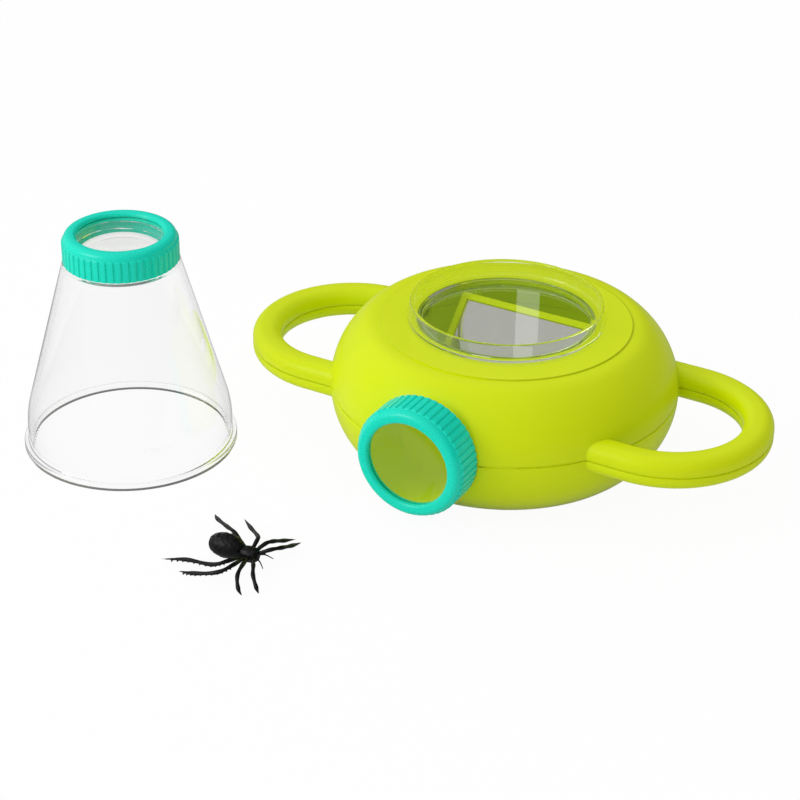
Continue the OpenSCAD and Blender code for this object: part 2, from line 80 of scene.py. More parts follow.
# Dish, over the raised round of the housing
PLATEAU_Z = span("upper_shell", 2)[1]
HOOK_Z, RIM_Z = span("viewing_dish", 2)
DISH_R = half("viewing_dish", 0)
DISH_WALL = 1.8
DISH_LAND = 3.2
RIM_DRAFT = 1.2
SPIGOT_R = 41.3
HOOK_OUT = 0.6
HOOK_COUNT = 6
HOOK_ANGLE = math.radians(24)
RIM_EDGE = 0.7
WELL_ROUND = 0.9
COLLAR_ROUND = 0.4
COLLAR_EDGE = 0.2
FOOT_EDGE = 0.1

# Heights over the collar's lower end where a hook starts, is full, and stops
HOOK_STATIONS = (0.5, 1, 1.1)
HOOK_FROM = 0.4
HOOK_TO = 1.05

# The dish's floor lies this far above the raised round, and its ring's foot this far below it
DISH_SEAT = 0.04
DISH_SINK = 0.3

# Housing: its skin is a flank and a shoulder that meet smoothly, and a loop on each side
BODY_R = span("upper_shell", 1)[1]
FLANK_R = 38
WIDEST_Z = 29.5
SHOULDER_R = 12
SHOULDER_ANGLE = math.radians(51)
WALL = 2.4
FLOOR_Z = 3.6
PLATEAU_RISE = 0.6
CEILING_Z = PLATEAU_Z - WALL - PLATEAU_RISE
SPLIT_Z = span("upper_shell", 2)[0]
SEAM = 0.5
SEAM_ROUND = 0.9
GRIP_W = 14.2
LOOP_R = 41.7
LOOP_X = half("upper_shell", 0) - LOOP_R - GRIP_W / 2
SEAT_INSET = 4.9

# The boss round the eyepiece's seat is trimmed within this radius, from this place outwards
BOSS_CUT_R = 28.2
BOSS_CUT_Y = -55
BOSS_CUT_LEN = 40
TRIM_PROUD = 0.03
TRIM_LOW_Z = 3
TRIM_STEP = 0.5
TRIM_STEPS = 116
ON_OUTLINE = 0.08

# Rounded edges nearer to the eyepiece's seat than this are left out of the lime finish
EDGES_OFF_WITHIN = 44

# Ribbed rings: the eyepiece's looks along -Y, the jar's cap stands upright
RING_FRONT_Y, RING_BACK_Y = span("eyepiece_ring", 1)
SIGHT_Z = middle("eyepiece_ring", 2)
CAP_Z, CAP_TOP_Z = span("jar_cap", 2)
RING_R = half("jar_cap", 0)
RING_BORE_R = 24.1
RING_HOLE_R = 20
RING_LIP = 1.9
RIB_COUNT = 48
RIB_DEPTH = 0.62
RIB_END_ROUND = 0.7
DOME_LEN = 3.4
DOME_ROUND = 2.9
HOLE_ROUND = 1.7
RING_BACK_EDGE = 0.2
RING_LIP_EDGE = 0.1
LENS_ROOM = 0.3
SEAT_GAP = 0.1

# The ribs start with a small round at the ring's back, and the dome lies a step under them
RIB_BACK_ROUND = 0.35
RIB_BACK_MID = 0.12
DOME_STEP = 0.35
DOME_STEP_START = 0.25
DOME_STEP_RISE = 0.3

# Shares: a rib's sides over its pitch, its crown's drop, and its drop at the back
RIB_SIDE_SHARES = (0.3, 0.4)
RIB_CROWN_SHARE = 0.6
RIB_BACK_SHARE = 0.5

# Lenses
LENS_R = half("jar_lens", 0)
LENS_EDGE = 2.2
LENS_DOME_R = 19.7
LENS_CROWN = half("jar_lens", 2) - LENS_EDGE / 2
CAP_LENS_CROWN = 0.45

# Jar
JAR_X = middle("jar_body", 0)
JAR_Y = middle("jar_body", 1)
FLANGE_R = half("jar_body", 0)
JAR_NECK_Z = span("jar_body", 2)[1]
FLANGE_H = 3.4
FLANGE_OUT = 2.1
JAR_WALL = 1.7
SKIRT_H = 10
SKIRT_BEND_R = 50
JAR_TOP_R = 27
JAR_SHOULDER_Z = 94
JAR_EDGE = 0.3
JAR_FOOT_ROUND = 0.5
JAR_FLANGE_ROUND = 0.9
JAR_SHOULDER_ROUND = 1.1
JAR_NECK_ROUND = 0.8
JAR_ROOF_ROUND = 1

# Threads of the barrel and of the jar's neck
THREAD_R = 24
THREAD_ROOT_R = 23.3
THREAD_PITCH = 4
THREAD_RUN_IN = 1
THREAD_OFF_END = 0.5
THREAD_STEP = 0.4
RIDGE_SHARES = (0.12, 0.26)
BARREL_FRONT_Y, BARREL_BACK_Y = span("eyepiece_barrel", 1)
BARREL_WALL = 1.9
BARREL_FLANGE_R = half("eyepiece_barrel", 0)
BARREL_FLANGE_AT = 3.7
BARREL_FLANGE_W = 2.2
BARREL_EDGE = 0.3
BARREL_FLANGE_EDGE = 0.2
BARREL_THREAD_AFTER = 0.3

# Sheet that closes the flank up to the barrel: rings of points round the line of sight, proud of
# the skin near the barrel and sunk into it from a radius on
SHEET_OVERLAP = 0.6
SHEET_RING_STEP = 0.75
SHEET_RINGS = 16
SHEET_STEPS = 80
SHEET_LOW_Z = 4.4
SHEET_PROUD = 0.12
SHEET_SINK = 0.2
SHEET_SINK_FROM_R = 29
UPPER_SHEET_ANGLES = (0, 180)
LOWER_SHEET_ANGLES = (-5.5, -174.5)

# Spider, as the CAD part places it
SPIDER_AT = Vector((-43.5, -155, 0))
SPIDER_TURN = math.radians(5)
LEG_REACH = 39
LEG_R = 0.95
LEG_SWELLING = 0.1
LEG_POINT_FROM = 0.72
LEG_POINT_LEAST = 0.02
FEELER_R = 0.48
FEELER_TAPER = 0.22
ABDOMEN_LEN = 16.5
ABDOMEN_R = 5.6
HEAD_LEN = 9.5
HEAD_R = 3.7
EYE_AT = (2.6, 1.1, 2.4)
EYE_LEN = 1.7
EYE_R = 0.75
BELLY_SLIMNESS = 0.8
HEAD_SLIMNESS = 0.7
EYE_SLIMNESS = 0.5
SKIN_VOXEL = 0.3

# Bumps of the spider's skin: their size, their height and the room left for them on each body.
# They fade between these shares of the abdomen, and at these distances from the head's middle.
KNOB_SIZE = 1.3
BELLY_KNOB = 0.45
HEAD_KNOB = 0.22
BELLY_KNOB_ROOM = 0.25
HEAD_KNOB_ROOM = 0.15
BELLY_KNOB_FADE = (0.9, 1.2)
HEAD_KNOB_FADE = (5.0, 7.5)

# Bristles under the long legs
BRISTLE_LEN = 0.85
BRISTLE_DROOP = 0.35
BRISTLE_LEAN = 0.3
BRISTLE_MIDDLE = 0.6
BRISTLE_TAPER = 0.62
BRISTLE_TIP_R = 0.12

# Light: ways to the key lamp, to the middle of the soft light and to the narrow lamp behind
KEY_WAY = Vector((-0.50, -0.72, 0.48)).normalized()
SOFT_WAY = Vector((-0.75, 0.00, 0.64)).normalized()
STRIP_WAY = Vector((-0.382, 0.810, 0.445)).normalized()
LAMP_DISTANCE = 1.3
LAMP_AIM_Z = 0.03

# Table, and the camera's place, view and roll as they were fitted to the photograph
TABLE_REACH = 3.0
TABLE_DROP = 0.2
CAMERA_AT = Vector((406.3, -820.7, 531.1))
CAMERA_AHEAD = Vector((-0.42852, 0.75976, -0.48902)).normalized()
CAMERA_ROLL = math.radians(0.58)

# A ray that has turned more often than this goes straight through clear plastic
TURNS_IN_CLEAR = 4.5


def linear(hex_colour):
    """sRGB hex to the linear colour that a socket takes."""
    parts = [int(hex_colour[i:i + 2], 16) / 255 for i in (1, 3, 5)]
    return [p / 12.92 if p <= 0.04045 else ((p + 0.055) / 1.055) ** 2.4 for p in parts] + [1]


def add_node(tree, kind, inputs=None, **settings):
    """Adds one node: settings are its own fields, inputs are values or other nodes' sockets."""
    n = tree.nodes.new("ShaderNode" + kind)
    for field, value in settings.items():
        setattr(n, field, value)
    for key, value in (inputs or {}).items():
        if isinstance(value, bpy.types.NodeSocket):
            tree.links.new(value, n.inputs[key])
        else:
            n.inputs[key].default_value = value
    return n


def new_material(name):
    m = bpy.data.materials.new(name)
    m.use_nodes = True
    m.node_tree.nodes.clear()
    return m, m.node_tree


# Mask for the painted glow: the housing's inside faces get light of their own there
def inside_housing(tree, place):
    """1 on the faces inside the housing's wall and 0 on its skin."""
    axes = add_node(tree, "SeparateXYZ", {0: place})
    flat = add_node(tree, "CombineXYZ", {"X": axes.outputs["X"], "Y": axes.outputs["Y"]})
    radius = add_node(tree, "VectorMath", {0: flat.outputs[0]}, operation="LENGTH").outputs["Value"]
    past = add_node(tree, "Math", {0: radius, 1: (BODY_R - FLANK_R) * MM}, operation="SUBTRACT")
    past = add_node(tree, "Math", {0: past.outputs[0], 1: 0.0}, operation="MAXIMUM")
    rise = add_node(tree, "Math", {0: axes.outputs["Z"], 1: WIDEST_Z * MM}, operation="SUBTRACT")
    corner = add_node(tree, "CombineXYZ", {"X": past.outputs[0], "Y": rise.outputs[0]})
    off = add_node(tree, "VectorMath", {0: corner.outputs[0]}, operation="LENGTH").outputs["Value"]
    under_skin = add_node(tree, "Math", {0: off, 1: (FLANK_R - WALL / 2) * MM},
                          operation="LESS_THAN")
    height = add_node(tree, "Math", {0: axes.outputs["Z"], 1: (FLOOR_Z + CEILING_Z) / 2 * MM,
                                     2: (CEILING_Z - FLOOR_Z + WALL) / 2 * MM}, operation="COMPARE")
    return add_node(tree, "Math", {0: under_skin.outputs[0], 1: height.outputs[0]},
                    operation="MULTIPLY").outputs[0]


def moulded_plastic(name, colour, deep_colour, rough, grain_mm, grain_depth_mm, level, edge_mm=0,
                    glow=0, glow_inside=False):
    """Injection-moulded plastic: an even colour with faint flow clouds, and the fine spark-eroded
    grain of the mould, which breaks up the gloss. Edges are rounded by edge_mm. The glow is painted
    light, on all of it or only inside the housing: it stands in for light that comes through a
    slightly see-through wall, so in a dark room it would be wrong."""
    m, tree = new_material(name)
    place = add_node(tree, "TexCoord").outputs["Object"]
    flow = add_node(tree, "TexNoise", {"Vector": place, "Scale": 1 / (30 * MM), "Detail": 2.0})
    tint = add_node(tree, "Mix", {0: flow.outputs["Fac"], 6: linear(colour),
                                  7: linear(deep_colour)}, data_type="RGBA")
    grain = add_node(tree, "TexNoise", {"Vector": place, "Scale": 1 / (grain_mm * MM),
                                        "Detail": 3.0})
    gloss = add_node(tree, "MapRange", {"Value": grain.outputs["Fac"], "To Min": rough - 0.04,
                                        "To Max": rough + 0.05})
    relief = {"Height": grain.outputs["Fac"], "Strength": 0.35, "Distance": grain_depth_mm * MM}
    if edge_mm:
        rounded_edge = add_node(tree, "Bevel", {"Radius": edge_mm * MM}, samples=6)
        away = add_node(tree, "VectorMath", {0: place, 1: Vector((0, -BODY_R, SIGHT_Z)) * MM},
                        operation="DISTANCE")
        clear_of_eyepiece = add_node(tree, "Math", {0: away.outputs["Value"],
                                                  1: EDGES_OFF_WITHIN * MM},
                                     operation="GREATER_THAN")
        plain = add_node(tree, "NewGeometry").outputs["Normal"]
        normal = add_node(tree, "Mix", {0: clear_of_eyepiece.outputs[0], 4: plain,
                                        5: rounded_edge.outputs["Normal"]}, data_type="VECTOR")
        relief["Normal"] = normal.outputs[1]
    bump = add_node(tree, "Bump", relief)
    skin = add_node(tree, "BsdfPrincipled", {"Base Color": tint.outputs[2], "IOR": 1.54,
                                             "Roughness": gloss.outputs["Result"],
                                             "Normal": bump.outputs["Normal"],
                                             "Specular IOR Level": level,
                                             "Emission Color": linear(colour),
                                             "Emission Strength": glow})
    # The painted glow goes only on the faces inside the housing
    if glow_inside:
        inside = add_node(tree, "Math", {0: inside_housing(tree, place), 1: glow},
                          operation="MULTIPLY")
        tree.links.new(inside.outputs[0], skin.inputs["Emission Strength"])
    add_node(tree, "OutputMaterial", {"Surface": skin.outputs["BSDF"]})
    return m


def clear_plastic(name, tint, ior, wave_mm, wave_depth_mm):
    """Polished clear plastic: the faint waviness of its moulded walls bends what lies behind. Light
    for shadows and for matt surfaces passes straight through, as it does in a thin clear wall, and
    so does a ray that has turned often, which would else be lost in the wall and leave it black.
    The index of refraction is matched to the photograph and lies below the real plastic's."""
    m, tree = new_material(name)
    place = add_node(tree, "TexCoord").outputs["Object"]
    wave = add_node(tree, "TexNoise", {"Vector": place, "Scale": 1 / (wave_mm * MM), "Detail": 1.0})
    bump = add_node(tree, "Bump", {"Height": wave.outputs["Fac"], "Strength": 0.2,
                                   "Distance": wave_depth_mm * MM})
    body = add_node(tree, "BsdfPrincipled", {"Base Color": linear(tint), "Roughness": 0.0,
                                             "IOR": ior, "Transmission Weight": 1.0,
                                             "Normal": bump.outputs["Normal"]})
    through = add_node(tree, "BsdfTransparent", {"Color": linear(tint)})
    path = add_node(tree, "LightPath")
    straight = add_node(tree, "Math", {0: path.outputs["Is Shadow Ray"],
                                       1: path.outputs["Is Diffuse Ray"]}, operation="MAXIMUM")
    spent = add_node(tree, "Math", {0: path.outputs["Ray Depth"], 1: TURNS_IN_CLEAR},
                     operation="GREATER_THAN")
    straight = add_node(tree, "Math", {0: straight.outputs[0], 1: spent.outputs[0]},
                        operation="MAXIMUM")
    both = add_node(tree, "MixShader", {0: straight.outputs[0], 1: body.outputs["BSDF"],
                                        2: through.outputs["BSDF"]})
    add_node(tree, "OutputMaterial", {"Surface": both.outputs[0]})
    return m


def silvered_mirror():
    """Vacuum-silvered polystyrene: a strong, very slightly soft reflection with a violet cast."""
    m, tree = new_material("silvered_mirror")
    place = add_node(tree, "TexCoord").outputs["Object"]
    wave = add_node(tree, "TexNoise", {"Vector": place, "Scale": 1 / (18 * MM), "Detail": 1.0})
    gloss = add_node(tree, "MapRange", {"Value": wave.outputs["Fac"], "To Min": 0.02,
                                        "To Max": 0.06})
    bump = add_node(tree, "Bump", {"Height": wave.outputs["Fac"], "Strength": 0.3,
                                   "Distance": 0.05 * MM})
    face = add_node(tree, "BsdfPrincipled", {"Base Color": linear("#F6F0FC"), "Metallic": 1.0,
                                             "Roughness": gloss.outputs["Result"],
                                             "Normal": bump.outputs["Normal"]})
    add_node(tree, "OutputMaterial", {"Surface": face.outputs["BSDF"]})
    return m


def zinc_plated_steel():
    """Zinc-plated screw steel: blue-grey, its gloss broken up by the plating's grain."""
    m, tree = new_material("zinc_plated_steel")
    place = add_node(tree, "TexCoord").outputs["Object"]
    fleck = add_node(tree, "TexNoise", {"Vector": place, "Scale": 1 / (0.8 * MM), "Detail": 4.0})
    tint = add_node(tree, "Mix", {0: fleck.outputs["Fac"], 6: linear("#A9ADB2"),
                                  7: linear("#C9CCD0")}, data_type="RGBA")
    gloss = add_node(tree, "MapRange", {"Value": fleck.outputs["Fac"], "To Min": 0.25,
                                        "To Max": 0.45})
    metal = add_node(tree, "BsdfPrincipled", {"Base Color": tint.outputs[2], "Metallic": 1.0,
                                              "Roughness": gloss.outputs["Result"]})
    add_node(tree, "OutputMaterial", {"Surface": metal.outputs["BSDF"]})
    return m


# The lime finishes carry painted glow: the housing on its inside faces only, the barrel all over,
# and the mirror frame all over and strongest, so that it looks bright through the dish
LIME = moulded_plastic("satin_lime_abs_glowing_inside", "#D8E702", "#D2E400", 0.34, 0.7, 0.02, 0.18,
                       edge_mm=1.0, glow=0.1, glow_inside=True)
LIME_INSIDE_GLOWING = moulded_plastic("lime_abs_inside_glowing", "#D4E502", "#CFE200", 0.5, 0.7, 0.03, 0.12,
                              edge_mm=0.4, glow=0.07)
LIME_FRAME_GLOWING = moulded_plastic("lime_abs_frame_glowing", "#D8E702", "#D2E400", 0.5, 0.7, 0.03, 0.12,
                             edge_mm=0.4, glow=0.15)
TEAL = moulded_plastic("gloss_teal_abs", "#00E2C6", "#00DCBF", 0.27, 0.6, 0.01, 0.3, edge_mm=0.2)
BLACK = moulded_plastic("black_vinyl", "#060606", "#0B0B0B", 0.4, 0.5, 0.05, 0.25)
FOAM = moulded_plastic("white_foam_tape", "#E8E8E4", "#DADAD5", 0.9, 0.5, 0.2, 0.2)
JAR_CLEAR = clear_plastic("clear_polystyrene_jar", "#FDFDFD", 1.36, 25, 0.03)
DISH_CLEAR = clear_plastic("clear_polystyrene_dish", "#F6F9F0", 1.54, 25, 0.01)
LENS_CLEAR = clear_plastic("clear_acrylic_lens", "#FBFCFA", 1.32, 30, 0.005)
MIRROR = silvered_mirror()
STEEL = zinc_plated_steel()

for node, finish in (("lower_shell", LIME), ("upper_shell", LIME), ("mirror_frame", LIME_FRAME_GLOWING),
                     ("mirror_plate", MIRROR), ("mirror_pad", FOAM), ("frame_screws", STEEL),
                     ("housing_screws", STEEL), ("handle_screws", STEEL),
                     ("eyepiece_barrel", LIME_INSIDE_GLOWING), ("eyepiece_lens", LENS_CLEAR),
                     ("eyepiece_ring", TEAL), ("eyepiece_snap_ring", TEAL),
                     ("jar_lens", LENS_CLEAR), ("jar_cap", TEAL), ("jar_snap_ring", TEAL),
                     ("viewing_dish", DISH_CLEAR),
                     ("jar_body", JAR_CLEAR), ("toy_spider", BLACK)):
    slots = nodes[node].data.materials
    slots.clear()
    slots.append(finish)


def scratch_object(points, faces):
    """Object for a step of the making, from points in millimetres."""
    mesh = bpy.data.meshes.new("step")
    mesh.from_pydata([Vector(p) * MM for p in points], [], faces)
    made = bpy.data.objects.new("step", mesh)
    bpy.context.scene.collection.objects.link(made)
    return made


def cut_away(target, cutter):
    """Takes one scratch object's form out of another's, and removes the cutter."""
    cut = target.modifiers.new("cut", "BOOLEAN")
    cut.operation = "DIFFERENCE"
    cut.object = cutter
    cut.solver = "EXACT"
    target.data = bpy.data.meshes.new_from_object(
        target.evaluated_get(bpy.context.evaluated_depsgraph_get()))
    target.modifiers.clear()
    bpy.data.objects.remove(cutter)


def piece(name, points, faces, finish, slot, place=None, sharp=35):
    """Mesh piece from points in millimetres, smooth but for edges sharper than an angle. It takes
    the place and the body of the CAD node that it is named after."""
    mesh = bpy.data.meshes.new(name + "_skin")
    turn = place or Matrix()
    mesh.from_pydata([(turn @ Vector(p)) * MM for p in points], [], faces)
    shell = bmesh.new()
    shell.from_mesh(mesh)
    bmesh.ops.remove_doubles(shell, verts=shell.verts, dist=MERGE * MM)
    bmesh.ops.recalc_face_normals(shell, faces=shell.faces)
    shell.to_mesh(mesh)
    shell.free()
    mesh.shade_smooth()
    mesh.set_sharp_from_angle(angle=math.radians(sharp))
    mesh.materials.append(finish)
    made = bpy.data.objects.new(name + "_skin", mesh)
    bpy.context.scene.collection.objects.link(made)
    body = next(b for b, held in frame["record"]["behaviour"]["bodies"].items() if name in held)
    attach(made, body)
    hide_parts(name)
    return made


def rounded(corners, steps=5):
    """Closed outline with its corners rounded: each corner is (radius, height, its own rounding).
    Long straight stretches get a point near each end, so that they stay flat beside the rounds."""
    outline = []
    for i, (x, y, fillet) in enumerate(corners):
        here = Vector((x, y))
        if not fillet:
            outline.append(here)
            continue
        back = (Vector(corners[i - 1][:2]) - here).normalized()
        ahead = (Vector(corners[(i + 1) % len(corners)][:2]) - here).normalized()
        half_angle = back.angle(ahead) / 2
        centre = here + (back + ahead).normalized() * fillet / math.sin(half_angle)
        reach = fillet / math.tan(half_angle)
        start = here + back * reach - centre
        end = here + ahead * reach - centre
        for step in range(steps + 1):
            outline.append(centre + start.lerp(end, step / steps).normalized() * fillet)
    kept_flat = []
    for a, b in zip(outline, outline[1:] + outline[:1]):
        kept_flat.append(a)
        if (b - a).length > LONG_STRETCH:
            nick = (b - a).normalized() * STRETCH_END
            kept_flat += [a + nick, b - nick]
    return kept_flat


def even_angles(count):
    return [2 * math.pi * i / count for i in range(count)]


def turned(outline, angles, swing=None):
    """Closed outline turned about Z; swing(angle, radius, height) adds to the radius there."""
    count = len(outline)
    points = []
    for angle in angles:
        for r, z in outline:
            out = r + (swing(angle, r, z) if swing else 0)
            points.append((out * math.cos(angle), out * math.sin(angle), z))
    faces = []
    for column in range(len(angles)):
        here = column * count
        there = (column + 1) % len(angles) * count
        for i in range(count):
            j = (i + 1) % count
            faces.append((here + i, there + i, there + j, here + j))
    return points, faces


def along_sight(y):
    """Place whose height runs out of the eyepiece from a distance along the line of sight."""
    return Matrix.Translation((0, y, SIGHT_Z)) @ Matrix.Rotation(math.radians(90), 4, "X")


def on_jar(z):
    return Matrix.Translation((JAR_X, JAR_Y, z))


def ease(low, high, value):
    t = min(max((value - low) / (high - low), 0), 1)
    return t * t * (3 - 2 * t)


def ribbed_ring(length):
    """Ring with crowned ribs that end in small rounds under its domed front."""
    core_r = RING_R - RIB_DEPTH
    rib_end = length - DOME_LEN
    end_heights = [rib_end - RIB_END_ROUND * share for share in (1, 0.7, 0.4, 0.2, 0.07, 0)]
    outline = rounded(
        [(RING_BORE_R, 0, RING_BACK_EDGE), (core_r, 0, 0), (core_r, RIB_BACK_MID, 0),
         (core_r, RIB_BACK_ROUND, 0)]
        + [(core_r, height, 0) for height in end_heights]
        + [(core_r - DOME_STEP_START, rib_end + DOME_STEP_RISE, 0),
           (core_r - DOME_STEP, length, DOME_ROUND), (RING_HOLE_R, length, HOLE_ROUND),
           (RING_HOLE_R, length - RING_LIP, RING_LIP_EDGE),
           (LENS_R + LENS_ROOM, length - RING_LIP, 0),
           (LENS_R + LENS_ROOM, length - RING_LIP - LENS_EDGE, 0),
           (RING_BORE_R, length - RING_LIP - LENS_EDGE, 0)], steps=7)

    def ribs(angle, r, z):
        if r < core_r - NEAR or z > rib_end:
            return 0
        phase = angle * RIB_COUNT / (2 * math.pi) % 1
        across = abs(phase - 0.5)
        crown = (1 - ease(*RIB_SIDE_SHARES, across)) * (1 - RIB_CROWN_SHARE * across ** 2)
        into_end = max(z - rib_end + RIB_END_ROUND, 0) / RIB_END_ROUND
        into_back = max(RIB_BACK_ROUND - z, 0) / RIB_BACK_ROUND
        return (RIB_DEPTH * crown * math.sqrt(max(1 - into_end ** 2, 0))
                * (1 - RIB_BACK_SHARE * into_back ** 2))

    phases = (0.0, 0.1, 0.133, 0.167, 0.2, 0.35, 0.5, 0.65, 0.8, 0.833, 0.867, 0.9)
    angles = [2 * math.pi * (rib + phase) / RIB_COUNT
              for rib in range(RIB_COUNT) for phase in phases]
    return turned(outline, angles, ribs)


def thread(start, end):
    """Swing of the radius that raises a screw thread from its root between two heights."""
    def ridge(angle, r, z):
        if abs(r - THREAD_ROOT_R) > NEAR:
            return 0
        phase = (z / THREAD_PITCH - angle / (2 * math.pi)) % 1
        run_in = ease(start, start + THREAD_RUN_IN, z) * (1 - ease(end - THREAD_RUN_IN, end, z))
        return (THREAD_R - THREAD_ROOT_R) * (1 - ease(*RIDGE_SHARES, abs(phase - 0.5))) * run_in
    return ridge


def thread_heights(start, end):
    count = round((end - start) / THREAD_STEP)
    return [start + (end - start) * i / count for i in range(count + 1)]


def domed_lens(crown):
    """Magnifying lens with two domed faces inside a flat rim."""
    dome_r = (LENS_DOME_R ** 2 + crown ** 2) / (2 * crown)
    reach = math.asin(LENS_DOME_R / dome_r)
    top = [(dome_r * math.sin(reach * i / 20),
            LENS_EDGE / 2 + crown - dome_r * (1 - math.cos(reach * i / 20))) for i in range(21)]
    rim = [(LENS_R, LENS_EDGE / 2), (LENS_R, -LENS_EDGE / 2)]
    return turned(top + rim + [(r, -z) for r, z in reversed(top)], even_angles(128))


def clear_dish():
    """Floor, drafted ring and the short collar whose hooks hold it in the opening. The ring's foot
    is drawn a little into the upper shell, so that no gap shows under it."""
    collar_r = SPIGOT_R - DISH_WALL
    rim_r = DISH_R - RIM_DRAFT
    inner_r = DISH_R - DISH_WALL
    seat_z = PLATEAU_Z + DISH_SEAT
    foot_z = PLATEAU_Z - DISH_SINK
    outline = rounded([
        (0, seat_z, 0), (collar_r, seat_z, COLLAR_ROUND), (collar_r, HOOK_Z, COLLAR_EDGE),
        (SPIGOT_R, HOOK_Z, COLLAR_EDGE), *[(SPIGOT_R, HOOK_Z + up, 0) for up in HOOK_STATIONS],
        (SPIGOT_R, foot_z, COLLAR_EDGE), (DISH_R, foot_z, FOOT_EDGE),
        (DISH_R, seat_z + DISH_LAND, 0),
        (rim_r, RIM_Z, RIM_EDGE), (rim_r - DISH_WALL, RIM_Z, RIM_EDGE),
        (inner_r, seat_z + DISH_LAND, 0),
        (inner_r, seat_z + DISH_WALL, WELL_ROUND), (0, seat_z + DISH_WALL, 0)])

    def hooks(angle, r, z):
        on_hook = abs(r - SPIGOT_R) < NEAR and HOOK_Z + HOOK_FROM < z < HOOK_Z + HOOK_TO
        return HOOK_OUT if on_hook and angle % (2 * math.pi / HOOK_COUNT) < HOOK_ANGLE else 0

    return turned(outline, even_angles(180), hooks)


def conical_jar():
    """Foot flange, straight skirt, cone and threaded neck, with the rounds of a moulded jar."""
    skirt_r = FLANGE_R - FLANGE_OUT
    bore_r = skirt_r - JAR_WALL
    inner_bend_r = SKIRT_BEND_R - JAR_WALL
    roof_z = JAR_SHOULDER_Z - JAR_WALL
    run = Vector((JAR_TOP_R - skirt_r + SKIRT_BEND_R, JAR_SHOULDER_Z - SKIRT_H))
    lean = math.atan2(run.y, run.x) - math.acos(SKIRT_BEND_R / run.length)
    rise = (roof_z - SKIRT_H - inner_bend_r * math.sin(lean)) / math.cos(lean)
    roof_r = skirt_r - SKIRT_BEND_R + inner_bend_r * math.cos(lean) - rise * math.sin(lean)
    neck = (JAR_SHOULDER_Z + THREAD_RUN_IN, JAR_NECK_Z - THREAD_OFF_END)
    outline = rounded(
        [(bore_r, 0, JAR_EDGE), (FLANGE_R, 0, JAR_FOOT_ROUND),
         (FLANGE_R, FLANGE_H, JAR_FLANGE_ROUND), (skirt_r, FLANGE_H, JAR_FLANGE_ROUND),
         (skirt_r, SKIRT_H + SKIRT_BEND_R * math.tan(lean / 2), SKIRT_BEND_R),
         (JAR_TOP_R, JAR_SHOULDER_Z, JAR_SHOULDER_ROUND), (THREAD_ROOT_R, JAR_SHOULDER_Z, 0)]
        + [(THREAD_ROOT_R, height, 0) for height in thread_heights(*neck)]
        + [(THREAD_ROOT_R, JAR_NECK_Z, JAR_EDGE), (THREAD_R - JAR_WALL, JAR_NECK_Z, JAR_EDGE),
           (THREAD_R - JAR_WALL, roof_z, JAR_NECK_ROUND), (roof_r, roof_z, JAR_ROOF_ROUND),
           (bore_r, SKIRT_H + inner_bend_r * math.tan(lean / 2), inner_bend_r)], steps=7)
    return turned(outline, even_angles(192), thread(*neck))


def threaded_barrel():
    """Barrel with the flange that the shells hold and the thread that the ring turns on."""
    length = BARREL_BACK_Y - BARREL_FRONT_Y
    bore_r = THREAD_R - BARREL_WALL
    flange = (BARREL_FLANGE_AT, BARREL_FLANGE_AT + BARREL_FLANGE_W)
    start = BARREL_BACK_Y - RING_BACK_Y + BARREL_THREAD_AFTER
    end = length - THREAD_OFF_END
    outline = rounded(
        [(bore_r, 0, BARREL_EDGE), (THREAD_R, 0, BARREL_EDGE), (THREAD_R, flange[0], 0),
         (BARREL_FLANGE_R, flange[0], BARREL_FLANGE_EDGE),
         (BARREL_FLANGE_R, flange[1], BARREL_FLANGE_EDGE), (THREAD_R, flange[1], 0),
         (THREAD_R, start - THREAD_OFF_END, 0)]
        + [(THREAD_ROOT_R, height, 0) for height in thread_heights(start, end)]
        + [(THREAD_ROOT_R, length, BARREL_EDGE), (bore_r, length, BARREL_EDGE)])
    return turned(outline, even_angles(144), thread(start, end))


def skin_radius(z):
    """Radius of the housing's skin at a height."""
    flank_x = BODY_R - FLANK_R
    if z < WIDEST_Z + FLANK_R * math.sin(SHOULDER_ANGLE):
        return flank_x + math.sqrt(FLANK_R ** 2 - (z - WIDEST_Z) ** 2)
    step = FLANK_R - SHOULDER_R
    over_shoulder = z - WIDEST_Z - step * math.sin(SHOULDER_ANGLE)
    return (flank_x + step * math.cos(SHOULDER_ANGLE)
            + math.sqrt(SHOULDER_R ** 2 - over_shoulder ** 2))


def out_of_seam(p):
    """Distance outside the housing's outline at the seam, and the level way out there."""
    flat = Vector((p.x, p.y, 0))
    ways = [(flat.length - skin_radius(p.z), flat.normalized())]
    if abs(p.x) > LOOP_X:
        from_centre = flat - Vector((math.copysign(LOOP_X, p.x), 0, 0))
        off = from_centre.length - LOOP_R
        ways.append((abs(off) - GRIP_W / 2, from_centre.normalized() * math.copysign(1, off)))
    elif abs(p.y) < BODY_R - GRIP_W:
        off = abs(p.y) - LOOP_R
        ways.append((abs(off) - GRIP_W / 2, Vector((0, math.copysign(1, p.y * off), 0))))
    return min(ways, key=lambda way: way[0])


